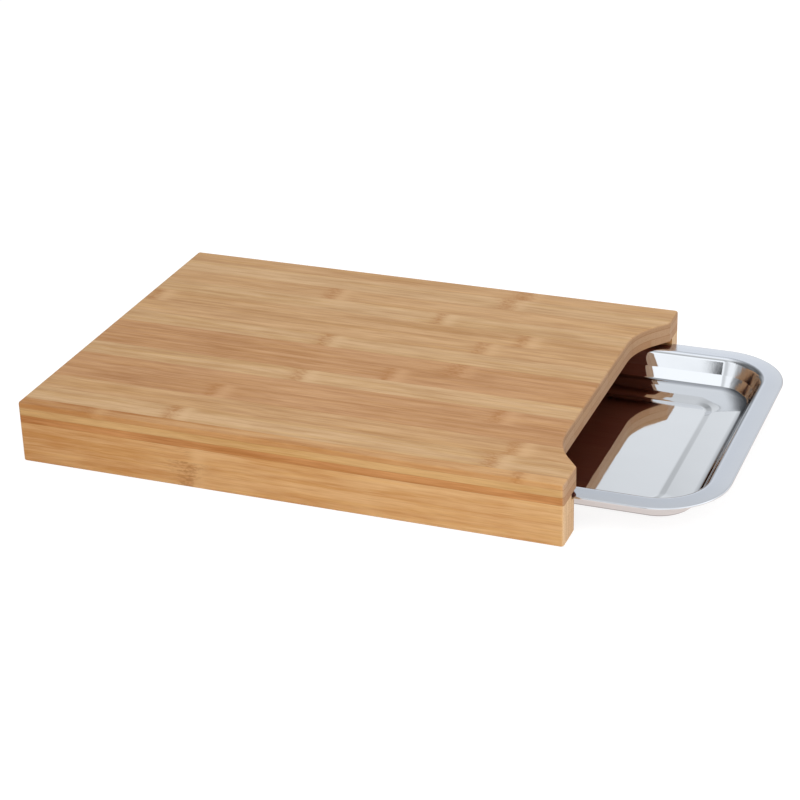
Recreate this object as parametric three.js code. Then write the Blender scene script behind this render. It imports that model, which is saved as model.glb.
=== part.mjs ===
// A bamboo cutting board on two side rails, with a pressed steel tray that slides under it.
// Millimetres, +Z up. +X is the notched end, where the tray comes out. The tray stands part way
// out, and the origin is under the middle of board and tray together, on the table.
import * as THREE from 'three';

// Top board: strips side by side, glued in three plies
const boardLength = 380;
const boardWidth = 280;
const topPly = 3.8;
const middlePly = 5.4;
const bottomPly = 5.4;
const stripWidth = 19.6;
const backEdgeStrip = 16.5;
const frontEdgeStrip = 8.7;

// Rails: vertical plies, of which the inner one is lower and leaves the slot for the tray's rim
const railHeight = 28.9;
const railPly = 5.5;
const railPlies = 4;
const slotHeight = 4.3;

// Eased edges
const edgeRound = 1.5;
const footRound = 1;
const cornerRadius = 2.2;

// Notch in the end of the board, above the tray
const notchDepth = 19.3;
const notchSideMargin = 25;
const notchCentre = 2;
const notchFillet = 53;
const notchCornerRound = 3;
const notchSlope = THREE.MathUtils.degToRad(38);

// Tray: one sheet, with a rim turned down at its edge. The wall bends once on its way down, at
// the crease, and a shallow ramp leads from the sloped border to the flat panel.
const sheet = 0.7;
const rimOverlap = 3;
const rimFillet = 1.2;
const lipDrop = 1.5;
const rimWidth = 12.3;
const trayCorner = 47.5;
const wallTopFillet = 4;
const upperWallLean = THREE.MathUtils.degToRad(24.5);
const creaseDrop = 10.8;
const creaseFillet = 2.5;
const lowerWallLean = THREE.MathUtils.degToRad(30);
const footDrop = 18.7;
const footFillet = 2.5;
const rampStart = 45.3;
const rampWidth = 4.4;
const rampDrop = 0.7;
const rampFillet = 6;
const panelCorner = 9.8;

// Fits
const slideGap = 0.3;
const trayEndGap = 1;
const trayGroundGap = 4.2;
const trayOut = 89.5;

// How finely curves are cut
const leastStep = 0.3;
const edgeSteps = 4;
const cornerSteps = 6;
const notchSteps = 14;
const notchCornerSteps = 4;
const trayFilletSteps = 6;
const rimFilletSteps = 4;
const footFilletSteps = 4;
const softBendSteps = 2;
const trayCornerSteps = 16;

// Places that follow from the sizes
const halfLength = boardLength / 2;
const halfWidth = boardWidth / 2;
const railWidth = railPly * railPlies;
const channelHalf = halfWidth - railWidth;
const ledgeHeight = railHeight - slotHeight;
const middleHeight = railHeight + bottomPly;
const topHeight = middleHeight + middlePly;
const boardHeight = topHeight + topPly;
const rimTop = ledgeHeight + slideGap + lipDrop;
const trayHalfWidth = channelHalf + rimOverlap;
const trayLength = boardLength - railWidth - trayEndGap;
const quarterTurn = Math.PI / 2;

const bambooTones = { light: '#d0a678', warm: '#c4935f', brown: '#b98657', edge: '#c58745' };
const stripTones = [
  'warm', 'light', 'brown', 'light', 'warm', 'brown', 'light', 'brown',
  'warm', 'light', 'brown', 'brown', 'warm', 'light', 'edge',
];

// A closed skin through rings of the same number of points, all counterclockwise from above
function loft(rings) {
  const count = rings[0].length;
  const triangles = [];
  for (let k = 0; k + 1 < rings.length; k += 1) {
    for (let i = 0; i < count; i += 1) {
      const next = (i + 1) % count;
      const [a, b] = [k * count + i, k * count + next];
      const [c, d] = [b + count, a + count];
      triangles.push(a, b, c, a, c, d);
    }
  }
  const last = (rings.length - 1) * count;
  for (const [a, b, c] of capTriangles(rings[0])) triangles.push(c, b, a);
  for (const [a, b, c] of capTriangles(rings.at(-1))) triangles.push(last + a, last + b, last + c);
  const geometry = new THREE.BufferGeometry();
  geometry.setAttribute('position', new THREE.Float32BufferAttribute(rings.flat(2), 3));
  geometry.setIndex(triangles);
  const faceted = geometry.toNonIndexed();
  faceted.computeVertexNormals();
  return faceted;
}

function capTriangles(ring) {
  const outline = ring.map(([x, y]) => new THREE.Vector2(x, y));
  return THREE.ShapeUtils.triangulateShape(outline, []);
}

function mesh(name, geometry, color, roughness, metalness) {
  const material = new THREE.MeshStandardMaterial({ color, roughness, metalness });
  const piece = new THREE.Mesh(geometry, material);
  piece.name = name;
  return piece;
}

function bambooPiece(name, geometry, tone) {
  const color = bambooTones[tone];
  return mesh(name, geometry, color, 0.55, 0);
}

// The notched end of the board: how far it reaches in X at a place across the width.
// An inset moves the whole edge inwards, as the round-over does near the top face.
const notchMouth = halfWidth - notchSideMargin;
const notchFoot = notchMouth - notchDepth / Math.tan(notchSlope);
const notchFlat = notchFoot - notchFillet * Math.tan(notchSlope / 2);
const notchFloor = halfLength - notchDepth;
const mouthRoundStart = notchMouth + notchCornerRound * Math.tan(notchSlope / 2);

function notchedEnd(y, inset) {
  const across = Math.abs(y - notchCentre);
  const fillet = notchFillet + inset;
  const round = notchCornerRound - inset;
  if (across >= mouthRoundStart) return halfLength - inset;
  if (across >= mouthRoundStart - round * Math.sin(notchSlope)) {
    const fall = Math.sqrt(round ** 2 - (mouthRoundStart - across) ** 2);
    return halfLength - notchCornerRound + fall;
  }
  if (across <= notchFlat) return notchFloor - inset;
  if (across <= notchFlat + fillet * Math.sin(notchSlope)) {
    return notchFloor + notchFillet - Math.sqrt(fillet ** 2 - (across - notchFlat) ** 2);
  }
  const slant = (across - notchMouth) * Math.tan(notchSlope);
  return halfLength + slant - inset / Math.cos(notchSlope);
}

function plainEnd(y, inset) {
  return halfLength - inset;
}

// Places across the width where the notched end bends
function notchPlaces() {
  const distances = [];
  for (let k = 0; k <= notchSteps; k += 1) {
    distances.push(notchFlat + notchFillet * Math.sin((notchSlope * k) / notchSteps));
  }
  for (let k = 0; k <= notchCornerSteps; k += 1) {
    const turn = (notchSlope * (notchCornerSteps - k)) / notchCornerSteps;
    distances.push(mouthRoundStart - notchCornerRound * Math.sin(turn));
  }
  const places = distances.flatMap((distance) => [notchCentre - distance, notchCentre + distance]);
  return places.sort((a, b) => a - b);
}

function arcPoints(centreX, centreY, radius, from) {
  const points = [];
  for (let k = 0; k <= cornerSteps; k += 1) {
    const turn = from + (quarterTurn * k) / cornerSteps;
    points.push([centreX + radius * Math.cos(turn), centreY + radius * Math.sin(turn)]);
  }
  return points;
}

// Plan outline of a lengthwise strip from low to high in Y. Where it is the outermost strip
// its outer corners are rounded.
function stripOutline(low, high, inset, rightEnd, places) {
  const radius = cornerRadius - inset;
  const centreX = halfLength - cornerRadius;
  const centreY = halfWidth - cornerRadius;
  const outerLow = low === -halfWidth;
  const outerHigh = high === halfWidth;
  const between = places.filter((y) => y > low + leastStep && y < high - leastStep);
  return [
    ...(outerLow ? arcPoints(-centreX, -centreY, radius, -2 * quarterTurn) : [[inset - halfLength, low]]),
    ...(outerLow ? arcPoints(centreX, -centreY, radius, -quarterTurn) : [[rightEnd(low, inset), low]]),
    ...between.map((y) => [rightEnd(y, inset), y]),
    ...(outerHigh ? arcPoints(centreX, centreY, radius, 0) : [[rightEnd(high, inset), high]]),
    ...(outerHigh ? arcPoints(-centreX, centreY, radius, quarterTurn) : [[inset - halfLength, high]]),
  ];
}

function ringsAt(levels, outline) {
  return levels.map(({ z, inset }) => outline(inset).map(([x, y]) => [x, y, z]));
}

// Levels of a piece from low to high, with a round-over at its top or at its foot
function squareLevels(low, high) {
  return [{ z: low, inset: 0 }, { z: high, inset: 0 }];
}

function topRoundLevels(low, high, radius) {
  const levels = [{ z: low, inset: 0 }];
  for (let k = 0; k <= edgeSteps; k += 1) {
    const turn = (quarterTurn * k) / edgeSteps;
    levels.push({ z: high - radius * (1 - Math.sin(turn)), inset: radius * (1 - Math.cos(turn)) });
  }
  return levels;
}

function footRoundLevels(low, high, radius) {
  const flipped = topRoundLevels(-high, -low, radius).reverse();
  return flipped.map(({ z, inset }) => ({ z: -z, inset }));
}

// The strips of the board from the back edge to the front. Those between the two edge strips
// share the width evenly.
function boardStrips() {
  const innerWidth = boardWidth - backEdgeStrip - frontEdgeStrip;
  const staves = Math.round(innerWidth / stripWidth);
  const edges = [halfWidth];
  for (let i = 0; i <= staves; i += 1) {
    edges.push(halfWidth - backEdgeStrip - (innerWidth * i) / staves);
  }
  edges.push(-halfWidth);
  return edges.slice(1).map((low, i) => ({ name: stripName(i, staves), low, high: edges[i] }));
}

function stripName(place, staves) {
  if (place === 0) return 'back_edge';
  if (place > staves) return 'front_edge';
  return `stave_${String(place).padStart(2, '0')}`;
}

function topBoard() {
  const plies = [
    { name: 'bottom', levels: squareLevels(railHeight, middleHeight) },
    { name: 'middle', levels: squareLevels(middleHeight, topHeight) },
    { name: 'top', levels: topRoundLevels(topHeight, boardHeight, edgeRound) },
  ];
  const board = new THREE.Group();
  const places = notchPlaces();
  boardStrips().forEach((strip, i) => {
    const outline = (inset) => stripOutline(strip.low, strip.high, inset, notchedEnd, places);
    plies.forEach((ply, k) => {
      const tone = stripTones[(i + k + 1) % stripTones.length];
      board.add(bambooPiece(`${strip.name}_${ply.name}`, loft(ringsAt(ply.levels, outline)), tone));
    });
  });
  return board;
}

function plyTop(ply) {
  return ply === railPlies ? ledgeHeight : railHeight;
}

// A side rail lies along one long edge. Ply 1 is the outer one, and the last carries the rim.
function sideRail(name, side) {
  const rail = new THREE.Group();
  for (let ply = 1; ply <= railPlies; ply += 1) {
    const faces = [side * (halfWidth - railPly * (ply - 1)), side * (halfWidth - railPly * ply)];
    const [low, high] = [Math.min(...faces), Math.max(...faces)];
    const levels = footRoundLevels(0, plyTop(ply), footRound);
    const outline = (inset) => stripOutline(low, high, inset, plainEnd, []);
    rail.add(bambooPiece(`${name}_ply_${ply}`, loft(ringsAt(levels, outline)), 'light'));
  }
  return rail;
}

// The end rail closes the channel between the side rails. Ply 1 is the outer one.
function endRail() {
  const rail = new THREE.Group();
  for (let ply = 1; ply <= railPlies; ply += 1) {
    const outer = -halfLength + railPly * (ply - 1);
    const inner = outer + railPly;
    const outline = (inset) => {
      const face = ply === 1 ? outer + inset : outer;
      return [[face, -channelHalf], [inner, -channelHalf], [inner, channelHalf], [face, channelHalf]];
    };
    const levels = ply === 1 ? footRoundLevels(0, railHeight, footRound) : squareLevels(0, railHeight);
    rail.add(bambooPiece(`end_rail_ply_${ply}`, loft(ringsAt(levels, outline)), 'warm'));
  }
  return rail;
}

// Insets from the rim's outer face at which the sheet changes direction
const rimInner = rimWidth + wallTopFillet * Math.tan((quarterTurn - upperWallLean) / 2);
const creaseInset = rimInner + creaseDrop * Math.tan(upperWallLean);
const footInset = creaseInset + (footDrop - creaseDrop) * Math.tan(lowerWallLean);
const panelInset = rampStart + rampWidth;

const panelTop = trayGroundGap + sheet;
const lipEnd = { inset: 0, z: rimTop - lipDrop };
const panelMiddle = { inset: trayHalfWidth, z: panelTop };
const sheetCorners = [
  { inset: 0, z: rimTop, radius: rimFillet, steps: rimFilletSteps },
  { inset: rimInner, z: rimTop, radius: wallTopFillet, steps: trayFilletSteps },
  { inset: creaseInset, z: rimTop - creaseDrop, radius: creaseFillet, steps: softBendSteps },
  { inset: footInset, z: rimTop - footDrop, radius: footFillet, steps: footFilletSteps },
  { inset: rampStart, z: panelTop + rampDrop, radius: rampFillet, steps: softBendSteps },
  { inset: panelInset, z: panelTop, radius: rampFillet, steps: softBendSteps },
];

function headingBetween(from, to) {
  return Math.atan2(to.z - from.z, to.inset - from.inset);
}

// An arc in place of a corner of the section, touching the straight sheet before and after it
function sheetBend(before, corner, after) {
  const arriving = headingBetween(before, corner);
  const turn = headingBetween(corner, after) - arriving;
  const side = Math.sign(turn) * corner.radius;
  const reach = side * Math.tan(turn / 2);
  const centreInset = corner.inset - reach * Math.cos(arriving) - side * Math.sin(arriving);
  const centreZ = corner.z - reach * Math.sin(arriving) + side * Math.cos(arriving);
  const points = [];
  for (let k = 0; k <= corner.steps; k += 1) {
    const heading = arriving + (turn * k) / corner.steps;
    points.push({
      inset: centreInset + side * Math.sin(heading),
      z: centreZ - side * Math.cos(heading),
      heading,
    });
  }
  return points;
}

// The section of the sheet's upper face from the lip to the panel. Each point has its inset, its
// height and the direction that the sheet runs in.
function traySection() {
  const stops = [lipEnd, ...sheetCorners, panelMiddle];
  const bends = sheetCorners.map((corner, i) => sheetBend(stops[i], corner, stops[i + 2]));
  return [{ ...lipEnd, heading: quarterTurn }, ...bends.flat()];
}

// Corner radius at an inset: concentric down the wall, then drawn in to the panel's corner
function trayCornerAt(inset) {
  if (inset <= footInset) return trayCorner - inset;
  const rampCorner = panelCorner + rampWidth;
  if (inset >= rampStart) return rampCorner - (inset - rampStart);
  const along = (inset - footInset) / (rampStart - footInset);
  return THREE.MathUtils.lerp(trayCorner - footInset, rampCorner, along);
}

function trayRing(inset, z) {
  const radius = trayCornerAt(inset);
  const halfX = trayLength / 2 - inset - radius;
  const halfY = trayHalfWidth - inset - radius;
  const ring = [];
  [[halfX, halfY], [-halfX, halfY], [-halfX, -halfY], [halfX, -halfY]].forEach(([x, y], corner) => {
    for (let k = 0; k <= trayCornerSteps; k += 1) {
      const turn = quarterTurn * (corner + k / trayCornerSteps);
      ring.push([x + radius * Math.cos(turn), y + radius * Math.sin(turn), z]);
    }
  });
  return ring;
}

function trayGeometry() {
  const section = traySection();
  const upper = section.map(({ inset, z }) => trayRing(inset, z));
  const lower = section.map(({ inset, z, heading }) => {
    return trayRing(inset + sheet * Math.sin(heading), z - sheet * Math.cos(heading));
  });
  return loft([...lower.reverse(), ...upper]);
}

function tray() {
  const piece = mesh('tray', trayGeometry(), '#c8ccd2', 0.22, 1);
  piece.position.x = halfLength + trayOut - trayLength / 2;
  return piece;
}

const cuttingBoard = new THREE.Group();
cuttingBoard.add(topBoard(), sideRail('front_rail', -1), sideRail('back_rail', 1), endRail(), tray());
cuttingBoard.position.x = -trayOut / 2;

const part = new THREE.Group();
part.add(cuttingBoard);

export default part;
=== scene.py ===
# Bamboo cutting board on side rails, with a pressed steel tray part way out under it.
# Metres, +Z up. +X is the notched end, where the tray comes out.
import math

import bpy
from mathutils import Matrix, Vector


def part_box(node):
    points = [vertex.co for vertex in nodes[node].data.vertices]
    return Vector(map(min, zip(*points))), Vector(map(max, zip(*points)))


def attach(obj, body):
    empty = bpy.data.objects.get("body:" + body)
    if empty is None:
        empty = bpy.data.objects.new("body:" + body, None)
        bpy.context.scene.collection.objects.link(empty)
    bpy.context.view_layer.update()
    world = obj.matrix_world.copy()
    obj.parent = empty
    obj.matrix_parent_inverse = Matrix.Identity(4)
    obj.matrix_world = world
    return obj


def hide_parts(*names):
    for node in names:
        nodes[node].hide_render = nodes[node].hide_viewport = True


mm = 0.001  # metres in a millimetre

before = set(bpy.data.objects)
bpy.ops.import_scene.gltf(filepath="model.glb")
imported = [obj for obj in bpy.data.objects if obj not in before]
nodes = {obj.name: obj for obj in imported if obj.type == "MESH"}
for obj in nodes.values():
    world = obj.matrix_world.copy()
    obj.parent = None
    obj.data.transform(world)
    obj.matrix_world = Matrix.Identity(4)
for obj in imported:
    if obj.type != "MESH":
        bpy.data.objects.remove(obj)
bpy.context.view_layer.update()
scene = bpy.context.scene
print("frame loaded:", len(nodes), "nodes")


# sRGB hex to the linear values that a shader works in
def linear(hexColour):
    parts = [int(hexColour[i:i + 2], 16) / 255 for i in (1, 3, 5)]
    return [c / 12.92 if c <= 0.04045 else ((c + 0.055) / 1.055) ** 2.4 for c in parts] + [1]


# Adds a node to a tree. A socket, or a node's first output, is linked, and anything else is
# set as the value of the input.
def addNode(tree, kind, inputs=None, **settings):
    node = tree.nodes.new(kind)
    for name, value in settings.items():
        setattr(node, name, value)
    for socket, value in (inputs or {}).items():
        if isinstance(value, bpy.types.Node):
            value = value.outputs[0]
        if isinstance(value, bpy.types.NodeSocket):
            tree.links.new(value, node.inputs[socket])
        else:
            node.inputs[socket].default_value = value
    return node


# Camera: a long lens from the front, turned towards the notched end
cameraView = {
    "azimuth": 21.57,
    "elevation": 25.82,
    "roll": -1.65,
    "aim": (-10.4 * mm, -13.6 * mm, 20 * mm),
    "distance": 1503.2 * mm,
    "lens": 98.67,
}


def addCamera(view):
    turn = Matrix.Rotation(math.radians(view["azimuth"]), 4, "Z")
    tilt = Matrix.Rotation(math.radians(90 - view["elevation"]), 4, "X")
    roll = Matrix.Rotation(math.radians(view["roll"]), 4, "Z")
    facing = turn @ tilt @ roll
    camera = bpy.data.objects.new("camera", bpy.data.cameras.new("camera"))
    camera.data.lens = view["lens"]
    camera.data.sensor_width = 36
    back = facing @ Vector((0, 0, view["distance"]))
    camera.matrix_world = Matrix.Translation(Vector(view["aim"]) + back) @ facing
    scene.collection.objects.link(camera)
    scene.camera = camera


addCamera(cameraView)
scene.view_settings.view_transform = "Standard"


# A product studio: light boxes over the board, at its right and behind it, a white backdrop
# and a pale floor. In the metal the room shows as the backdrop behind, which is darker low down
# and at its left, a bright ceiling, a grey strip in front of it, a bright box over the camera,
# and low in front a darker room. A small dark flag stands in front and a dark screen at the left.
studio = {
    "roomLevel": 0.47,
    "boxes": [
        {"name": "keyBox", "place": (0.15, -0.6, 0.75), "size": 0.8, "power": 3.7},
        {"name": "sideBox", "place": (1.3, -0.5, 0.9), "size": 1.2, "power": 6},
        {"name": "backBox", "place": (-0.3, 0.7, 0.9), "size": 1.2, "power": 4.4},
    ],
    # brightness by the angle in degrees from the horizon behind, over the top, to the front
    "rise": [(0, 0.42), (11, 0.5), (17, 0.9), (21, 1.07), (26, 1.01), (30, 0.9), (34, 0.68),
             (38, 0.8), (46, 0.86), (56, 1.0), (66, 1.22), (100, 1.22), (106, 1.1), (112, 0.8),
             (134, 0.85), (143, 1.34), (148, 1.34), (154, 1.3), (158, 1.22), (166, 0.74),
             (180, 0.45)],
    # and by the angle from straight behind round the left side, except overhead
    "turn": [(-20, 1.2), (-9, 0.8), (0, 0.76), (6, 0.76), (11.5, 1.0), (14.5, 1.0),
             (18.5, 0.88), (21.5, 0.62), (35, 0.55), (75, 0.6), (95, 0.6), (118, 0.5),
             (131, 0.5), (137, 0.95), (150, 0.95), (157, 0.65), (161.5, 0.65), (164.5, 1.0),
             (180, 1.0)],
    "overhead": (52, 64),
    # turned from straight in front round the left side
    "flags": [
        {"turn": 6, "height": 23, "reach": 5.99, "soft": 0.22, "level": 0.03},
        {"turn": 100, "height": 28, "reach": 50, "soft": 30, "level": 0.27},
    ],
    "sheenTint": (0.975, 1.01, 1.045, 1),
    "floorSize": 12,
    "floorTone": "#EDEDED",
    "shadowTone": "#9C9C9C",
    "floorLift": 0.8,
    "floorSheen": (0.91, 0.8, 0.75, 1),
}


def addLightBox(name, place, size, power):
    light = bpy.data.lights.new(name, "AREA")
    light.shape = "SQUARE"
    light.size = size
    light.energy = power
    box = bpy.data.objects.new(name, light)
    aim = (-Vector(place)).to_track_quat("-Z", "Y").to_matrix().to_4x4()
    box.matrix_world = Matrix.Translation(place) @ aim
    scene.collection.objects.link(box)
    box.visible_glossy = False  # the steel mirrors the room alone


def addRoom(level, rise, turn, overhead, flags, sheenTint):
    world = bpy.data.worlds.new("studioRoom")
    scene.world = world
    world.use_nodes = True
    tree = world.node_tree
    tree.nodes.clear()
    look = addNode(tree, "ShaderNodeTexCoord").outputs["Generated"]
    x, y, z = addNode(tree, "ShaderNodeSeparateXYZ", {0: look}).outputs
    left = addNode(tree, "ShaderNodeMath", {0: x, 1: -1}, operation="MULTIPLY")
    bands = []
    lowest, span = -60, 240  # degrees on a ramp
    for sideways, stops in ((z, rise), (left, turn)):
        angle = addNode(tree, "ShaderNodeMath", {0: sideways, 1: y}, operation="ARCTAN2")
        angle = addNode(tree, "ShaderNodeMath", {0: angle, 1: math.degrees(1) / span,
                                                 2: -lowest / span}, operation="MULTIPLY_ADD")
        ramp = addNode(tree, "ShaderNodeValToRGB", {0: angle})
        elements = ramp.color_ramp.elements
        while len(elements) < len(stops):
            elements.new(1)
        brightest = max(value for _, value in stops)
        for element, (degrees, value) in zip(elements, stops):
            element.position = (degrees - lowest) / span
            element.color = 3 * [value / brightest] + [1]
        bands.append(addNode(tree, "ShaderNodeMath", {0: ramp, 1: brightest},
                             operation="MULTIPLY"))
    start, end = [math.sin(math.radians(height)) for height in overhead]
    above = addNode(tree, "ShaderNodeMapRange", {0: z, 1: start, 2: end})
    around = addNode(tree, "ShaderNodeMix", {0: above, 2: bands[1], 3: 1.0}, data_type="FLOAT")
    sheen = addNode(tree, "ShaderNodeMath", {0: bands[0], 1: around}, operation="MULTIPLY")
    for flag in flags:
        side, up = math.radians(flag["turn"]), math.radians(flag["height"])
        toward = (-math.sin(side) * math.cos(up), -math.cos(side) * math.cos(up), math.sin(up))
        away = addNode(tree, "ShaderNodeVectorMath", {0: look, 1: toward},
                       operation="DOT_PRODUCT")
        edge, core = [math.cos(math.radians(flag["reach"] - soft)) for soft in (0, flag["soft"])]
        dark = addNode(tree, "ShaderNodeMapRange", {
            0: away.outputs["Value"], 1: edge, 2: core, 3: 1, 4: flag["level"]},
            interpolation_type="SMOOTHSTEP")
        sheen = addNode(tree, "ShaderNodeMath", {0: sheen, 1: dark}, operation="MULTIPLY")
    path = addNode(tree, "ShaderNodeLightPath")
    strength = addNode(tree, "ShaderNodeMix", {0: path.outputs["Is Glossy Ray"], 2: level,
                                               3: sheen}, data_type="FLOAT")
    clear = addNode(tree, "ShaderNodeMath", {0: path.outputs["Is Camera Ray"],
                                             1: path.outputs["Is Transmission Ray"]},
                    operation="MAXIMUM")
    strength = addNode(tree, "ShaderNodeMix", {0: clear, 2: strength, 3: 1.0}, data_type="FLOAT")
    tint = addNode(tree, "ShaderNodeMix", {0: path.outputs["Is Glossy Ray"], 6: (1, 1, 1, 1),
                                           7: sheenTint}, data_type="RGBA").outputs[2]
    room = addNode(tree, "ShaderNodeBackground", {"Color": tint, "Strength": strength})
    addNode(tree, "ShaderNodeOutputWorld", {"Surface": room})


# The floor glows for the camera and in the metal, where it is a little pink, and still takes
# the object's shadow. Soft light meets a plain grey floor.
def addFloor(size, tone, shadowTone, lift, sheenTint):
    half = size / 2
    mesh = bpy.data.meshes.new("floor")
    mesh.from_pydata([(-half, -half, 0), (half, -half, 0), (half, half, 0), (-half, half, 0)],
                     [], [(0, 1, 2, 3)])
    floor = bpy.data.objects.new("floor", mesh)
    scene.collection.objects.link(floor)
    material = bpy.data.materials.new("paleFloor")
    material.use_nodes = True
    tree = material.node_tree
    tree.nodes.clear()
    path = addNode(tree, "ShaderNodeLightPath")
    seen = addNode(tree, "ShaderNodeMath", {0: path.outputs["Is Camera Ray"],
                                            1: path.outputs["Is Glossy Ray"]},
                   operation="MAXIMUM")
    shown = addNode(tree, "ShaderNodeMix", {0: seen, 6: linear(tone), 7: linear(shadowTone)},
                    data_type="RGBA").outputs[2]
    matt = addNode(tree, "ShaderNodeBsdfDiffuse", {"Color": shown})
    glow = addNode(tree, "ShaderNodeMath", {0: seen, 1: lift}, operation="MULTIPLY")
    cast = addNode(tree, "ShaderNodeMix", {0: path.outputs["Is Glossy Ray"], 6: (1, 1, 1, 1),
                                           7: sheenTint}, data_type="RGBA").outputs[2]
    lifted = addNode(tree, "ShaderNodeEmission", {"Color": cast, "Strength": glow})
    both = addNode(tree, "ShaderNodeAddShader", {0: matt, 1: lifted})
    addNode(tree, "ShaderNodeOutputMaterial", {"Surface": both})
    mesh.materials.append(material)


for box in studio["boxes"]:
    addLightBox(**box)
addRoom(studio["roomLevel"], studio["rise"], studio["turn"], studio["overhead"],
        studio["flags"], studio["sheenTint"])
addFloor(studio["floorSize"], studio["floorTone"], studio["shadowTone"], studio["floorLift"],
         studio["floorSheen"])
print("camera, light and floor placed")


# Oiled bamboo, sawn into flat strips along the fibres and glued. The figure is worked out in
# millimetres, with X along the strip: clouds, soft bands, fine fibres, thin dark bundles, the
# brown marks of the culm's nodes, hairlines of glue, and dots on the cut ends.
bambooFigure = {
    "wander": 0.55, "wanderLength": 48,
    "layers": {  # length and width, the noise's detail, and the part of it that is spread out
        "cloud": (42, 8, 1, 0.3, 0.7),
        "gold": (75, 2.6, 1, 0.42, 0.7),
        "band": (120, 3.4, 2, 0.3, 0.7),
        "fibre": (17, 0.75, 3, 0.3, 0.7),
        "bundle": (15, 0.42, 1, 0.55, 0.72),
        "mottle": (3.2, 1.2, 2, 0.4, 0.62),
    },
    "fibreShare": 0.42, "cloudShare": 0.25,
    "goldTint": (1.0, 0.97, 0.8, 1), "goldShare": 0.6,
    "markLength": 4.5, "markWander": 1.2, "markStretch": (0.7, 2), "markShare": (0.2, 0.7),
    "raggedScale": 0.22,
    "haloShift": 8.5, "haloLength": 6, "haloShare": 0.55,
    "tailLength": 17, "bundleShare": (0.15, 0.5),
    "glueWidth": 0.3, "glueRun": 45, "glueBreak": (0.4, 0.65), "glueShare": (0.15, 0.8),
    "seamShare": 0.35, "upperSeed": 7.3,
    "poreSize": 0.75, "poreEdge": (0.18, 0.42), "poreShare": 0.5, "endSpread": 0.3,
    "endFacing": (0.45, 0.75), "sideFacing": (0.7, 0.9),  # how squarely a face looks that way
    "roughness": (0.5, 0.6),  # sanded and oiled
    "reliefDepth": 0.04, "reliefStrength": 0.3,
    "ior": 1.5, "shine": 0.2,  # open grain under the oil shines less than a closed surface
}


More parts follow.
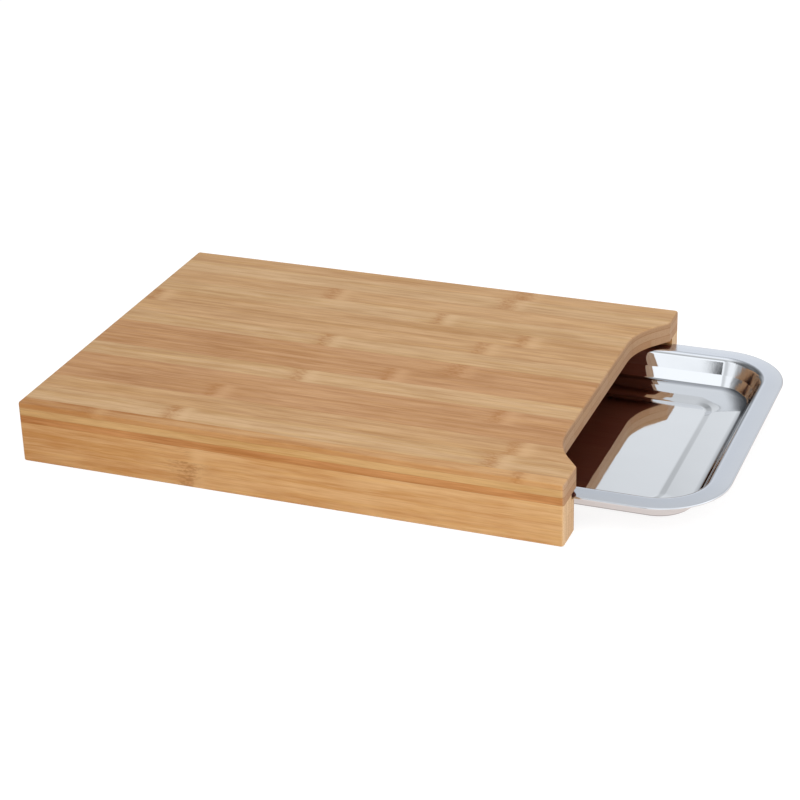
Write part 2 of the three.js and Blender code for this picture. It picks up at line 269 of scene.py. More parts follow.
def makeBambooFigure(figure):
    tree = bpy.data.node_groups.new("bambooFigure", "ShaderNodeTree")
    face = tree.interface
    for name, kind in (("Place", "Vector"), ("Facing", "Vector"), ("Half Size", "Vector"),
                       ("Seed", "Float"), ("Pale", "Color"), ("Deep", "Color"), ("End", "Color"),
                       ("Mark", "Color"), ("First Mark", "Float"), ("Second Mark", "Float"),
                       ("Third Mark", "Float"), ("Mark Spread", "Float"), ("Seam", "Float"),
                       ("Painted Light Drift", "Float"), ("Own Side", "Vector"), ("Side Tone And Shade", "Color"),
                       ("Side Share", "Float")):
        face.new_socket(name, in_out="INPUT", socket_type="NodeSocket" + kind)
    face.new_socket("Colour", in_out="OUTPUT", socket_type="NodeSocketColor")
    face.new_socket("Roughness", in_out="OUTPUT", socket_type="NodeSocketFloat")
    face.new_socket("Height", in_out="OUTPUT", socket_type="NodeSocketFloat")
    given = addNode(tree, "NodeGroupInput").outputs
    spot = addNode(tree, "ShaderNodeSeparateXYZ", {0: given["Place"]}).outputs
    facing = addNode(tree, "ShaderNodeSeparateXYZ", {0: given["Facing"]}).outputs
    half = addNode(tree, "ShaderNodeSeparateXYZ", {0: given["Half Size"]}).outputs

    # a rail's ply is two strips high, and the upper one is another piece of bamboo
    upper = addNode(tree, "ShaderNodeMath", {0: spot[2], 1: given["Seam"]},
                    operation="GREATER_THAN")
    seed = addNode(tree, "ShaderNodeMath", {
        0: upper, 1: figure["upperSeed"], 2: given["Seed"]}, operation="MULTIPLY_ADD")

    # fibres wander a little along the strip
    bend = addNode(tree, "ShaderNodeTexNoise", {
        "Vector": given["Place"], "W": seed, "Scale": 1 / figure["wanderLength"], "Detail": 2},
        noise_dimensions="4D")
    sway = addNode(tree, "ShaderNodeMath", {0: bend, 1: 0.5}, operation="SUBTRACT")
    sway = addNode(tree, "ShaderNodeMath", {0: sway, 1: 4 * figure["wander"]},
                   operation="MULTIPLY")
    shift = addNode(tree, "ShaderNodeCombineXYZ", {1: sway, 2: sway})
    along = addNode(tree, "ShaderNodeVectorMath", {0: given["Place"], 1: shift})

    # each layer of the figure is noise, stretched along the strip and spread to 0 ... 1
    layers = {}
    for name, (length, width, detail, low, high) in figure["layers"].items():
        stretch = addNode(tree, "ShaderNodeVectorMath", {
            0: along, 1: (1 / length, 1 / width, 1 / width)}, operation="MULTIPLY")
        grain = addNode(tree, "ShaderNodeTexNoise", {
            "Vector": stretch, "W": seed, "Scale": 1, "Detail": detail}, noise_dimensions="4D")
        layers[name] = addNode(tree, "ShaderNodeMapRange", {0: grain, 1: low, 2: high},
                               interpolation_type="SMOOTHSTEP")
    depth = addNode(tree, "ShaderNodeMix", {
        0: figure["fibreShare"], 2: layers["band"], 3: layers["fibre"]}, data_type="FLOAT")
    depth = addNode(tree, "ShaderNodeMix", {
        0: figure["cloudShare"], 2: depth, 3: layers["cloud"]}, data_type="FLOAT")
    # painted light: the colour grows paler towards the brighter lit right end
    paintedLightDrift = addNode(tree, "ShaderNodeMath", {0: spot[0], 1: given["Painted Light Drift"]},
                    operation="MULTIPLY")
    depth = addNode(tree, "ShaderNodeMath", {0: depth, 1: paintedLightDrift}, operation="SUBTRACT",
                    use_clamp=True)
    colour = addNode(tree, "ShaderNodeMix", {0: depth, 6: given["Pale"], 7: given["Deep"]},
                     data_type="RGBA").outputs[2]
    warmth = addNode(tree, "ShaderNodeMath", {0: layers["gold"], 1: figure["goldShare"]},
                     operation="MULTIPLY")
    colour = addNode(tree, "ShaderNodeMix", {0: warmth, 6: colour, 7: figure["goldTint"]},
                     data_type="RGBA", blend_type="MULTIPLY").outputs[2]

    # node marks cross the strip, mottled, with a pale patch beside them and dark bundles around
    across = addNode(tree, "ShaderNodeMath", {0: spot[1], 1: spot[2]}, operation="ADD")
    ragged = addNode(tree, "ShaderNodeTexNoise", {
        "W": across, "Scale": figure["raggedScale"], "Detail": 2}, noise_dimensions="1D")
    ragged = addNode(tree, "ShaderNodeMath", {0: ragged, 1: 0.5}, operation="SUBTRACT")
    lean = addNode(tree, "ShaderNodeMath", {0: ragged, 1: 4 * figure["markWander"], 2: spot[0]},
                   operation="MULTIPLY_ADD")
    above = addNode(tree, "ShaderNodeMath", {0: spot[2], 1: half[2]}, operation="ADD")
    above = addNode(tree, "ShaderNodeMath", {0: above, 1: given["Mark Spread"],
                                             2: figure["markLength"]}, operation="MULTIPLY_ADD")
    near = {}
    for name in ("First Mark", "Second Mark", "Third Mark"):
        away = addNode(tree, "ShaderNodeMath", {0: lean, 1: given[name]}, operation="SUBTRACT")
        chance = addNode(tree, "ShaderNodeTexWhiteNoise", {"W": given[name]},
                         noise_dimensions="1D")
        least, most = figure["markStretch"]
        wide = addNode(tree, "ShaderNodeMapRange", {0: chance, 3: least, 4: most})
        wide = addNode(tree, "ShaderNodeMath", {0: wide, 1: above}, operation="MULTIPLY")
        for kind, centre, reach in (("mark", 0, wide),
                                    ("halo", figure["haloShift"], figure["haloLength"]),
                                    ("tail", 0, figure["tailLength"])):
            share = addNode(tree, "ShaderNodeMath", {0: away, 1: centre}, operation="SUBTRACT")
            share = addNode(tree, "ShaderNodeMath", {0: share, 1: reach}, operation="DIVIDE")
            share = addNode(tree, "ShaderNodeMath", {0: share, 1: share}, operation="MULTIPLY")
            share = addNode(tree, "ShaderNodeMath", {0: share, 1: -1}, operation="MULTIPLY")
            share = addNode(tree, "ShaderNodeMath", {0: share}, operation="EXPONENT")
            near[kind] = share if kind not in near else addNode(
                tree, "ShaderNodeMath", {0: near[kind], 1: share}, operation="MAXIMUM")
    least, most = figure["bundleShare"]
    dark = addNode(tree, "ShaderNodeMapRange", {0: near["tail"], 3: least, 4: most})
    dark = addNode(tree, "ShaderNodeMath", {0: dark, 1: layers["bundle"]}, operation="MULTIPLY")
    colour = addNode(tree, "ShaderNodeMix", {0: dark, 6: colour, 7: given["Mark"]},
                     data_type="RGBA").outputs[2]
    halo = addNode(tree, "ShaderNodeMath", {0: near["halo"], 1: figure["haloShare"]},
                   operation="MULTIPLY")
    colour = addNode(tree, "ShaderNodeMix", {0: halo, 6: colour, 7: given["Pale"]},
                     data_type="RGBA").outputs[2]
    least, most = figure["markShare"]
    mottle = addNode(tree, "ShaderNodeMapRange", {0: layers["mottle"], 3: least, 4: most})
    marks = addNode(tree, "ShaderNodeMath", {0: near["mark"], 1: mottle}, operation="MULTIPLY")
    lower = addNode(tree, "ShaderNodeMath", {0: 1, 1: upper}, operation="SUBTRACT")
    marks = addNode(tree, "ShaderNodeMath", {0: marks, 1: lower}, operation="MULTIPLY")
    colour = addNode(tree, "ShaderNodeMix", {0: marks, 6: colour, 7: given["Mark"]},
                     data_type="RGBA").outputs[2]

    # a hairline of glue where a flat side meets the next strip, darker in some stretches
    glue = None
    for axis in (1, 2):
        reach = addNode(tree, "ShaderNodeMath", {0: spot[axis]}, operation="ABSOLUTE")
        gap = addNode(tree, "ShaderNodeMath", {0: half[axis], 1: reach}, operation="SUBTRACT")
        line = addNode(tree, "ShaderNodeMapRange", {0: gap, 2: figure["glueWidth"], 3: 1, 4: 0})
        turned = addNode(tree, "ShaderNodeMath", {0: facing[axis]}, operation="ABSOLUTE")
        beside = addNode(tree, "ShaderNodeMath", {0: turned, 1: 0.5}, operation="LESS_THAN")
        line = addNode(tree, "ShaderNodeMath", {0: line, 1: beside}, operation="MULTIPLY")
        glue = line if glue is None else addNode(tree, "ShaderNodeMath", {0: glue, 1: line},
                                                 operation="MAXIMUM")
    rise = addNode(tree, "ShaderNodeMath", {0: spot[2], 1: given["Seam"]}, operation="SUBTRACT")
    rise = addNode(tree, "ShaderNodeMath", {0: rise}, operation="ABSOLUTE")
    seam = addNode(tree, "ShaderNodeMapRange", {
        0: rise, 2: figure["glueWidth"], 3: figure["seamShare"], 4: 0})
    joint = addNode(tree, "ShaderNodeMath", {0: glue, 1: seam}, operation="MAXIMUM")
    run = addNode(tree, "ShaderNodeTexNoise", {
        "Vector": given["Place"], "W": seed, "Scale": 1 / figure["glueRun"], "Detail": 1},
        noise_dimensions="4D")
    (start, end), (least, most) = figure["glueBreak"], figure["glueShare"]
    run = addNode(tree, "ShaderNodeMapRange", {0: run, 1: start, 2: end, 3: least, 4: most})
    joint = addNode(tree, "ShaderNodeMath", {0: joint, 1: run}, operation="MULTIPLY")
    colour = addNode(tree, "ShaderNodeMix", {0: joint, 6: colour, 7: given["Mark"]},
                     data_type="RGBA").outputs[2]

    # cut ends show the bundles as dots, in the piece's end tone, on the rails partly painted
    # light
    turned = addNode(tree, "ShaderNodeMath", {0: facing[0]}, operation="ABSOLUTE")
    start, end = figure["endFacing"]
    ended = addNode(tree, "ShaderNodeMapRange", {0: turned, 1: start, 2: end})
    pores = addNode(tree, "ShaderNodeTexVoronoi", {"Vector": given["Place"],
                    "Scale": 1 / figure["poreSize"]}, feature="F1")
    start, end = figure["poreEdge"]
    dots = addNode(tree, "ShaderNodeMapRange", {
        0: pores, 1: start, 2: end, 3: figure["poreShare"], 4: 0})
    own = addNode(tree, "ShaderNodeTexWhiteNoise", {"W": seed}, noise_dimensions="1D")
    own = addNode(tree, "ShaderNodeMapRange", {0: own, 3: 0, 4: figure["endSpread"]})
    cut = addNode(tree, "ShaderNodeMix", {0: own, 6: given["End"], 7: given["Deep"]},
                  data_type="RGBA").outputs[2]
    cut = addNode(tree, "ShaderNodeMix", {0: dots, 6: cut, 7: given["Mark"]},
                  data_type="RGBA").outputs[2]
    cut = addNode(tree, "ShaderNodeMix", {0: glue, 6: cut, 7: given["Mark"]},
                  data_type="RGBA").outputs[2]
    colour = addNode(tree, "ShaderNodeMix", {0: ended, 6: colour, 7: cut},
                     data_type="RGBA").outputs[2]

    # one side can have a tone of its own: painted shade under the board and in the channel, and a
    # more orange front face on the front edge
    inward = addNode(tree, "ShaderNodeVectorMath", {0: given["Facing"], 1: given["Own Side"]},
                     operation="DOT_PRODUCT").outputs["Value"]
    start, end = figure["sideFacing"]
    inward = addNode(tree, "ShaderNodeMapRange", {
        0: inward, 1: start, 2: end, 4: given["Side Share"]})
    colour = addNode(tree, "ShaderNodeMix", {0: inward, 6: colour, 7: given["Side Tone And Shade"]},
                     data_type="RGBA").outputs[2]

    least, most = figure["roughness"]
    rough = addNode(tree, "ShaderNodeMapRange", {0: layers["fibre"], 3: least, 4: most})
    height = addNode(tree, "ShaderNodeMath", {0: layers["bundle"], 1: -0.5, 2: layers["fibre"]},
                     operation="MULTIPLY_ADD")
    addNode(tree, "NodeGroupOutput", {"Colour": colour, "Roughness": rough, "Height": height})
    return tree


bambooTones = {
    "straw": {"pale": "#D6B38A", "deep": "#B0875C", "end": "#C49C78"},
    "honey": {"pale": "#D4AD82", "deep": "#AD8257", "end": "#C19873"},
    "nut": {"pale": "#CDA177", "deep": "#A6764C", "end": "#BD9470"},
    "amber": {"pale": "#D0A575", "deep": "#A87242", "end": "#CBA684"},
    "wheat": {"pale": "#E3B87E", "deep": "#C09059", "end": "#C8A17E"},
    "umber": {"pale": "#D89C62", "deep": "#AB6B35", "end": "#C39A76"},
    # rails' end tone: end grain's own tone, made paler as painted light for the lit right end
    "maize": {"pale": "#E5B984", "deep": "#C4894E", "end": "#EECBA0"},
}
markTone = "#A87240"
paintedShade = ("#7A281E", 0.85)  # painted shade under the board and in the channel
frontFaceTone = ("#D69654", 0.4)  # a more orange tone for the front edge's front face
noMark = 999  # a place off any strip

# Each strip's tone, its node marks in millimetres from the board's middle, and how much paler
# it gets for each millimetre to the right, a painted light gradient for the brighter lit right
# end
boardStrips = {
    "back_edge": ("honey", [77], 0),
    "stave_01": ("straw", [70], 0),
    "stave_02": ("honey", [-59], 0),
    "stave_03": ("straw", [31], 0),
    "stave_04": ("honey", [100, -184], 0),
    "stave_05": ("honey", [76], 0),
    "stave_06": ("straw", [-33], 0),
    "stave_07": ("nut", [72], 0),
    "stave_08": ("nut", [30], 0),
    "stave_09": ("straw", [-28], 0),
    "stave_10": ("nut", [121], 0),
    "stave_11": ("nut", [-73], 0),
    "stave_12": ("honey", [145], 0),
    "stave_13": ("straw", [-84, 137], 0),
    "front_edge": ("amber", [-139, 159], 0.0018),
}
figureTree = makeBambooFigure(bambooFigure)


def bamboo(name, tone, marks, seed, paintedLightDrift=0, seam=noMark, spread=0, turned=False,
           ownSide=(0, 0, 0), sideToneAndShade=paintedShade):
    low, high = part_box(name)
    centre = (low + high) / 2
    half = (high - low) / 2 / mm
    turn = math.pi / 2 if turned else 0
    material = bpy.data.materials.new("oiledBamboo_" + name)
    material.use_nodes = True
    tree = material.node_tree
    tree.nodes.clear()
    where = addNode(tree, "ShaderNodeTexCoord")
    place = addNode(tree, "ShaderNodeMapping", {
        0: where.outputs["Object"], "Location": centre, "Rotation": (0, 0, turn),
        "Scale": (mm, mm, mm)}, vector_type="TEXTURE")
    facing = addNode(tree, "ShaderNodeMapping", {
        0: where.outputs["Normal"], "Rotation": (0, 0, -turn)}, vector_type="VECTOR")
    places = (marks + 3 * [noMark])[:3]
    tones = bambooTones[tone]
    figure = addNode(tree, "ShaderNodeGroup", {}, node_tree=figureTree)
    for socket, value in {
            "Half Size": (half.y, half.x, half.z) if turned else half, "Seed": seed,
            "Pale": linear(tones["pale"]), "Deep": linear(tones["deep"]),
            "End": linear(tones["end"]), "Mark": linear(markTone), "First Mark": places[0],
            "Second Mark": places[1], "Third Mark": places[2], "Mark Spread": spread,
            "Seam": seam, "Painted Light Drift": paintedLightDrift, "Own Side": ownSide,
            "Side Tone And Shade": linear(sideToneAndShade[0]), "Side Share": sideToneAndShade[1]}.items():
        figure.inputs[socket].default_value = value
    tree.links.new(place.outputs[0], figure.inputs["Place"])
    tree.links.new(facing.outputs[0], figure.inputs["Facing"])
    bump = addNode(tree, "ShaderNodeBump", {
        "Height": figure.outputs["Height"], "Strength": bambooFigure["reliefStrength"],
        "Distance": bambooFigure["reliefDepth"] * mm})
    skin = addNode(tree, "ShaderNodeBsdfPrincipled", {
        "Base Color": figure.outputs["Colour"], "Roughness": figure.outputs["Roughness"],
        "IOR": bambooFigure["ior"], "Specular IOR Level": bambooFigure["shine"],
        "Normal": bump})
    addNode(tree, "ShaderNodeOutputMaterial", {"Surface": skin})
    return material


def dress(node, material):
    nodes[node].data.materials.clear()
    nodes[node].data.materials.append(material)


# Node marks of the lower plies step along from strip to strip. The bottom strips get paler to
# the right, as the front edge does, and so do the rails, as painted light for the brighter right
# end.
plies = {
    "seedStep": 3.1, "seedStart": 7.3,
    "middleMark": 57, "middleStep": -31,
    "bottomMark": -115, "bottomStep": 23, "bottomLightDrift": 0.001,
    "railSeam": 18.4, "railLightDrift": 0.0008, "railSpread": 0.33, "railSeedStep": 11,
    "railMark": -120, "railStep": 53, "frontRailMark": -67,
}


def dressBoard(plies):
    middle = sum(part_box("front_edge_top"), Vector()).x / 2
    down = (0, 0, -1)
    for i, (strip, (tone, marks, paintedLightDrift)) in enumerate(boardStrips.items()):
        offset = (sum(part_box(strip + "_top"), Vector()).x / 2 - middle) / mm
        own = [mark - offset for mark in marks]
        seed = plies["seedStep"] * i + plies["seedStart"]
        front = (0, -1 if strip == "front_edge" else 0, 0)
        dress(strip + "_top", bamboo(strip + "_top", tone, own, seed, paintedLightDrift, ownSide=front,
                                     sideToneAndShade=frontFaceTone))
        mark = plies["middleStep"] * i + plies["middleMark"]
        dress(strip + "_middle", bamboo(strip + "_middle", "wheat", [mark], seed + 1))
        mark = plies["bottomStep"] * i + plies["bottomMark"]
        # the bottom ply's underside takes the painted shade
        dress(strip + "_bottom", bamboo(strip + "_bottom", "umber", [mark], seed + 2,
                                        paintedLightDrift=plies["bottomLightDrift"], ownSide=down))
    # the fourth ply of a rail faces the channel, and that face takes the painted shade
    for rail, inward in (("front_rail", (0, 1, 0)), ("back_rail", (0, -1, 0)),
                         ("end_rail", (0, -1, 0))):
        for ply in range(1, 5):
            name = f"{rail}_ply_{ply}"
            low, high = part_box(name)
            seam = plies["railSeam"] - (low.z + high.z) / 2 / mm
            mark = plies["railStep"] * ply + plies["railMark"]
            if rail == "front_rail" and ply == 1:
                mark = plies["frontRailMark"]
            seed = plies["railSeedStep"] * ply + len(rail)
            dress(name, bamboo(name, "maize", [mark], seed, plies["railLightDrift"], seam,
                               plies["railSpread"], rail == "end_rail",
                               inward if ply == 4 else (0, 0, 0)))


dressBoard(plies)
print("bamboo dressed")


# The tray: one pressed sheet. Its section is a line of corners with the radius of each bend,
# and Geometry Nodes round them and carry the section round the tray. Sizes in millimetres. The
# lip, lipDrop less rimSlope, has to be longer than rimBend, or the sheet folds over there.
traySizes = {
    "sheet": 0.7, "rimBend": 0.9, "rimSlope": 0.5, "lipDrop": 1.5, "rimWidth": 12.3,
    "trayCorner": 47.5,
    "wallTopBend": 4, "upperWallLean": 24.5, "creaseDrop": 10.8, "creaseBend": 2.5,
    "lowerWallLean": 30, "footDrop": 18.7, "footBend": 2.5,
    "rampStart": 45.3, "rampWidth": 4.4, "rampDrop": 0.7, "rampBend": 15, "panelCorner": 9.8,
    "groundGap": 4.2, "bendSteps": 8, "cornerSteps": 24, "flatMargin": 0.4, "leastFlat": 1.5,
}
steelFinish = {
    # foot is the colour of the painted dark reflection line at the wall's foot
    "inside": "#DBDCDE", "rim": "#D4D7DE", "foot": "#6A6C72",
    "smears": (0.03, 0.06), "smearEdge": (0.35, 0.7), "smearLength": 18,  # roughness inside
    "cornerRoughness": 0.1,  # added in the drawn corners
    "rimRoughness": 0.16,
    "waveLength": 45, "waveDepth": 0.1,  # the flats are a little out of true
    # real drawing lines are finer than a tenth of a millimetre, and are drawn wider to show
    "streakStretch": (0.8, 0.8, 0.03), "streakDepth": 0.0008,
    "creaseStretch": (0.35, 0.35, 0.02), "creaseDepth": 0.1,
    "paintedFootLine": (0.3, 0.7), "paintedFootShare": 0.75, "footRise": 0.3,
    "rimFade": (0.9, 0.2),  # millimetres below the rim
    "wallFacing": (0.7, 0.92), "cornerFacing": (0.02, 0.3),
}


# The section's corners as inset from the rim, height and bend
def trayCorners(sizes, top, halfWidth):
    upper, lower = math.radians(sizes["upperWallLean"]), math.radians(sizes["lowerWallLean"])
    wallTop = sizes["rimWidth"] + sizes["wallTopBend"] * math.tan((math.pi / 2 - upper) / 2)
    crease = wallTop + sizes["creaseDrop"] * math.tan(upper)
    foot = crease + (sizes["footDrop"] - sizes["creaseDrop"]) * math.tan(lower)
    panel = sizes["groundGap"] + sizes["sheet"]
    return [
        (0, top - sizes["lipDrop"], 0),
        (0, top - sizes["rimSlope"], sizes["rimBend"]),
        (wallTop, top, sizes["wallTopBend"]),
        (crease, top - sizes["creaseDrop"], sizes["creaseBend"]),
        (foot, top - sizes["footDrop"], sizes["footBend"]),
        (sizes["rampStart"], panel + sizes["rampDrop"], sizes["rampBend"]),
        (sizes["rampStart"] + sizes["rampWidth"], panel, sizes["rampBend"]),
        (halfWidth, panel, 0),
    ]


# A flat run gets a point close to each end, so that the shading stays flat between its bends
def trayLine(corners, margin, leastFlat):
    places = [Vector((inset, 0, height)) for inset, height, _ in corners]
    reach = [0]
    for before, place, after, corner in zip(places, places[1:], places[2:], corners[1:]):
        reach.append(corner[2] * math.tan((place - before).angle(after - place) / 2))
    reach.append(0)
    line = [(places[0], 0)]
    for i in range(1, len(places)):
        run = places[i] - places[i - 1]
        flat = run.length - reach[i - 1] - reach[i]
        run.normalize()
        if flat > leastFlat:
            line.append((places[i - 1] + run * (reach[i - 1] + margin), 0))
            line.append((places[i] - run * (reach[i] + margin), 0))
        line.append((places[i], corners[i][2]))
    return line


def trayTree():
    tree = bpy.data.node_groups.new("pressedTray", "GeometryNodeTree")
    face = tree.interface
    face.new_socket("Geometry", in_out="OUTPUT", socket_type="NodeSocketGeometry")
    face.new_socket("Geometry", in_out="INPUT", socket_type="NodeSocketGeometry")
    for name, kind in (("Length", "Float"), ("Width", "Float"), ("Corner", "Float"),
                       ("Foot", "Float"), ("Ramp", "Float"), ("Ramp Corner", "Float"),
                       ("Bend Steps", "Int"), ("Corner Steps", "Int"), ("Margin", "Float"),
                       ("Finish", "Material")):
        face.new_socket(name, in_out="INPUT", socket_type="NodeSocket" + kind)
    given = addNode(tree, "NodeGroupInput").outputs

    # round the section's corners
    curve = addNode(tree, "GeometryNodeMeshToCurve", {0: given["Geometry"]})
    bend = addNode(tree, "GeometryNodeInputNamedAttribute", {0: "bend"}, data_type="FLOAT")
    curve = addNode(tree, "GeometryNodeFilletCurve", {
        0: curve, "Count": given["Bend Steps"], "Radius": bend}, mode="POLY")
    section = addNode(tree, "GeometryNodeCurveToMesh", {0: curve})
    section = addNode(tree, "GeometryNodeMergeByDistance", {0: section, "Distance": 0.01 * mm})
    rows = addNode(tree, "GeometryNodeAttributeDomainSize", {0: section}, component="MESH")

    # a grid with a row for each point of the section and a column for each place round the
    # tray, of which each corner has one more at both ends, to keep the straight sides flat
    side = addNode(tree, "FunctionNodeIntegerMath", {0: given["Corner Steps"], 1: 3})
    columns = addNode(tree, "FunctionNodeIntegerMath", {0: side, 1: 4, 2: 1},
                      operation="MULTIPLY_ADD")
    grid = addNode(tree, "GeometryNodeMeshGrid", {"Vertices X": columns, "Vertices Y": rows})
    index = addNode(tree, "GeometryNodeInputIndex")
    column = addNode(tree, "FunctionNodeIntegerMath", {0: index, 1: rows},
                     operation="DIVIDE_FLOOR")
    row = addNode(tree, "FunctionNodeIntegerMath", {0: index, 1: rows}, operation="MODULO")
    point = addNode(tree, "GeometryNodeInputPosition")
    sampled = addNode(tree, "GeometryNodeSampleIndex", {0: section, 1: point, "Index": row},
                      data_type="FLOAT_VECTOR")
    inset, _, height = addNode(tree, "ShaderNodeSeparateXYZ", {0: sampled}).outputs

    # how far round: the quarter, and the turn within it
    quarter = addNode(tree, "FunctionNodeIntegerMath", {0: column, 1: side},
                      operation="DIVIDE_FLOOR")
    step = addNode(tree, "FunctionNodeIntegerMath", {0: column, 1: side}, operation="MODULO")
    step = addNode(tree, "ShaderNodeMath", {0: step, 1: 1}, operation="SUBTRACT")
    held = addNode(tree, "ShaderNodeClamp", {0: step, 1: 0, 2: given["Corner Steps"]})
    beyond = addNode(tree, "ShaderNodeMath", {0: step, 1: held}, operation="SUBTRACT")
    share = addNode(tree, "ShaderNodeMath", {0: held, 1: given["Corner Steps"]},
                    operation="DIVIDE")
    turn = addNode(tree, "ShaderNodeMath", {0: quarter, 1: share}, operation="ADD")
    turn = addNode(tree, "ShaderNodeMath", {0: turn, 1: math.pi / 2}, operation="MULTIPLY")
    middle = addNode(tree, "ShaderNodeMath", {0: quarter, 1: math.pi / 2, 2: math.pi / 4},
                     operation="MULTIPLY_ADD")

    # corner radius: concentric down the wall, drawn in to the ramp's corner, then down to none
    radius = addNode(tree, "ShaderNodeMath", {0: given["Corner"], 1: given["Foot"]},
                     operation="SUBTRACT")
    radius = addNode(tree, "ShaderNodeMapRange", {
        0: inset, 1: given["Foot"], 2: given["Ramp"], 3: radius, 4: given["Ramp Corner"]})
    outside = addNode(tree, "ShaderNodeMath", {0: given["Foot"], 1: inset}, operation="SUBTRACT")
    outside = addNode(tree, "ShaderNodeMath", {0: outside, 1: 0}, operation="MAXIMUM")
    inside = addNode(tree, "ShaderNodeMath", {0: inset, 1: given["Ramp"]}, operation="SUBTRACT")
    inside = addNode(tree, "ShaderNodeMath", {0: inside, 1: 0}, operation="MAXIMUM")
    radius = addNode(tree, "ShaderNodeMath", {0: radius, 1: outside}, operation="ADD")
    radius = addNode(tree, "ShaderNodeMath", {0: radius, 1: inside}, operation="SUBTRACT")
    radius = addNode(tree, "ShaderNodeMath", {0: radius, 1: 0}, operation="MAXIMUM")

    places = []
    for size, wave, other, sense in (("Length", "COSINE", "SINE", -1),
                                     ("Width", "SINE", "COSINE", 1)):
        half = addNode(tree, "ShaderNodeMath", {0: given[size], 1: 0.5}, operation="MULTIPLY")
        half = addNode(tree, "ShaderNodeMath", {0: half, 1: inset}, operation="SUBTRACT")
        half = addNode(tree, "ShaderNodeMath", {0: half, 1: radius}, operation="SUBTRACT")
        half = addNode(tree, "ShaderNodeMath", {0: half, 1: 0}, operation="MAXIMUM")
        towards = addNode(tree, "ShaderNodeMath", {0: middle}, operation=wave)
        towards = addNode(tree, "ShaderNodeMath", {0: towards}, operation="SIGN")
        centre = addNode(tree, "ShaderNodeMath", {0: half, 1: towards}, operation="MULTIPLY")
        margin = addNode(tree, "ShaderNodeMath", {0: given["Margin"], 1: half},
                         operation="MINIMUM")
        margin = addNode(tree, "ShaderNodeMath", {0: margin, 1: beyond}, operation="MULTIPLY")
        ahead = addNode(tree, "ShaderNodeMath", {0: turn}, operation=other)
        ahead = addNode(tree, "ShaderNodeMath", {0: ahead, 1: sense}, operation="MULTIPLY")
        centre = addNode(tree, "ShaderNodeMath", {0: ahead, 1: margin, 2: centre},
                         operation="MULTIPLY_ADD")
        swing = addNode(tree, "ShaderNodeMath", {0: turn}, operation=wave)
        places.append(addNode(tree, "ShaderNodeMath", {0: swing, 1: radius, 2: centre},
                              operation="MULTIPLY_ADD"))
    spot = addNode(tree, "ShaderNodeCombineXYZ", {0: places[0], 1: places[1], 2: height})
    skin = addNode(tree, "GeometryNodeSetPosition", {0: grid, "Position": spot})
    skin = addNode(tree, "GeometryNodeMergeByDistance", {0: skin, "Distance": 0.01 * mm})
    skin = addNode(tree, "GeometryNodeSetShadeSmooth", {0: skin})
    skin = addNode(tree, "GeometryNodeRealizeInstances", {0: skin})
    skin = addNode(tree, "GeometryNodeSetMaterial", {0: skin, "Material": given["Finish"]})
    addNode(tree, "NodeGroupOutput", {0: skin})
    return tree


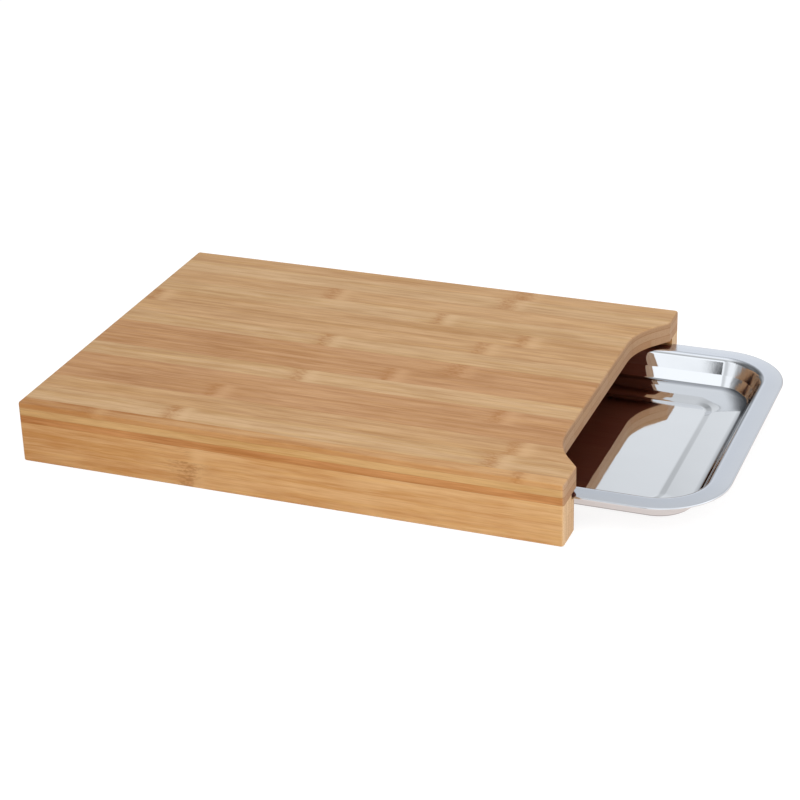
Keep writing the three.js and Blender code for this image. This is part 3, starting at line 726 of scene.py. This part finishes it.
# Stainless sheet: mirror bright inside, satin on the rim, with drawing streaks down the wall
def steel(finish, rimHeight, foot):
    material = bpy.data.materials.new("brightStainless")
    material.use_nodes = True
    tree = material.node_tree
    tree.nodes.clear()
    where = addNode(tree, "ShaderNodeTexCoord")
    place = addNode(tree, "ShaderNodeVectorMath", {0: where.outputs["Object"], "Scale": 1 / mm},
                    operation="SCALE")
    height = addNode(tree, "ShaderNodeSeparateXYZ", {0: place}).outputs[2]
    start, end = [rimHeight - below for below in finish["rimFade"]]
    rim = addNode(tree, "ShaderNodeMapRange", {0: height, 1: start, 2: end})
    across, along, upright = addNode(tree, "ShaderNodeSeparateXYZ",
                                     {0: where.outputs["Normal"]}).outputs
    start, end = finish["wallFacing"]
    wall = addNode(tree, "ShaderNodeMapRange", {0: upright, 1: start, 2: end, 3: 1, 4: 0})
    flat = addNode(tree, "ShaderNodeMath", {0: 1, 1: wall}, operation="SUBTRACT")
    corner = addNode(tree, "ShaderNodeMath", {0: across, 1: along}, operation="MULTIPLY")
    corner = addNode(tree, "ShaderNodeMath", {0: corner}, operation="ABSOLUTE")
    start, end = finish["cornerFacing"]
    corner = addNode(tree, "ShaderNodeMapRange", {0: corner, 1: start, 2: end})
    waves = addNode(tree, "ShaderNodeTexNoise", {
        "Vector": place, "Scale": 1 / finish["waveLength"], "Detail": 2})
    waves = addNode(tree, "ShaderNodeMath", {0: waves, 1: flat}, operation="MULTIPLY")
    layers = []
    for stretch in (finish["streakStretch"], finish["creaseStretch"]):
        drawn = addNode(tree, "ShaderNodeVectorMath", {0: place, 1: stretch},
                        operation="MULTIPLY")
        layers.append(addNode(tree, "ShaderNodeTexNoise", {"Vector": drawn, "Scale": 1,
                                                           "Detail": 2}))
    streaks = addNode(tree, "ShaderNodeMath", {0: layers[0], 1: wall}, operation="MULTIPLY")
    creases = addNode(tree, "ShaderNodeMath", {0: layers[1], 1: corner}, operation="MULTIPLY")
    smears = addNode(tree, "ShaderNodeTexNoise", {
        "Vector": place, "Scale": 1 / finish["smearLength"], "Detail": 3})
    (start, end), (least, most) = finish["smearEdge"], finish["smears"]
    smears = addNode(tree, "ShaderNodeMapRange", {
        0: smears, 1: start, 2: end, 3: least, 4: most})
    rough = addNode(tree, "ShaderNodeMath", {
        0: corner, 1: finish["cornerRoughness"], 2: smears}, operation="MULTIPLY_ADD")
    rough = addNode(tree, "ShaderNodeMix", {0: rim, 2: rough, 3: finish["rimRoughness"]},
                    data_type="FLOAT")
    tone = addNode(tree, "ShaderNodeMix", {0: rim, 6: linear(finish["inside"]),
                                           7: linear(finish["rim"])}, data_type="RGBA").outputs[2]
    # painted dark reflection: a thin dark line where the wall's sharp foot bends
    step = addNode(tree, "ShaderNodeMath", {0: height, 1: foot}, operation="SUBTRACT")
    step = addNode(tree, "ShaderNodeMath", {0: step}, operation="ABSOLUTE")
    near, far = finish["paintedFootLine"]
    line = addNode(tree, "ShaderNodeMapRange", {
        0: step, 1: near, 2: far, 3: finish["paintedFootShare"], 4: 0})
    tone = addNode(tree, "ShaderNodeMix", {0: line, 6: tone, 7: linear(finish["foot"])},
                   data_type="RGBA").outputs[2]
    # relief in millimetres
    relief = 0.0
    for layer, deep in ((waves, finish["waveDepth"]), (streaks, finish["streakDepth"]),
                        (creases, finish["creaseDepth"])):
        relief = addNode(tree, "ShaderNodeMath", {0: layer, 1: deep, 2: relief},
                         operation="MULTIPLY_ADD")
    bump = addNode(tree, "ShaderNodeBump", {"Height": relief, "Strength": 1, "Distance": mm})
    skin = addNode(tree, "ShaderNodeBsdfPrincipled", {
        "Base Color": tone, "Metallic": 1, "Roughness": rough, "Normal": bump})
    addNode(tree, "ShaderNodeOutputMaterial", {"Surface": skin})
    return material


def makeTray(sizes):
    low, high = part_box("tray")
    size = high - low
    corners = trayCorners(sizes, high.z / mm, size.y / 2 / mm)
    foot = corners[4]  # where the wall meets the sloped border
    line = trayLine(corners, sizes["flatMargin"], sizes["leastFlat"])
    mesh = bpy.data.meshes.new("pressedTray")
    mesh.from_pydata([place * mm for place, _ in line],
                     [(i, i + 1) for i in range(len(line) - 1)], [])
    bend = mesh.attributes.new("bend", "FLOAT", "POINT")
    bend.data.foreach_set("value", [radius * mm for _, radius in line])
    tray = bpy.data.objects.new("pressedTray", mesh)
    scene.collection.objects.link(tray)
    tree = trayTree()
    press = tray.modifiers.new("pressedTray", "NODES")
    press.node_group = tree
    values = {
        "Length": size.x, "Width": size.y, "Corner": sizes["trayCorner"] * mm,
        "Foot": foot[0] * mm, "Ramp": sizes["rampStart"] * mm,
        "Ramp Corner": (sizes["panelCorner"] + sizes["rampWidth"]) * mm,
        "Bend Steps": sizes["bendSteps"], "Corner Steps": sizes["cornerSteps"],
        "Margin": sizes["flatMargin"] * mm,
        "Finish": steel(steelFinish, high.z / mm, foot[1] + steelFinish["footRise"]),
    }
    for socket in tree.interface.items_tree:
        if socket.in_out == "INPUT" and socket.name in values:
            press[socket.identifier] = values[socket.name]
    shell = tray.modifiers.new("sheet", "SOLIDIFY")
    shell.thickness = sizes["sheet"] * mm
    shell.offset = -1
    final = bpy.data.meshes.new_from_object(
        tray.evaluated_get(bpy.context.evaluated_depsgraph_get()))
    tray.modifiers.clear()
    tray.data = final
    final.transform(Matrix.Translation(((low.x + high.x) / 2, (low.y + high.y) / 2, 0)))
    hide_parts("tray")
    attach(tray, "tray")
    return tray


tray = makeTray(traySizes)
print("tray pressed:", len(tray.data.polygons), "faces")
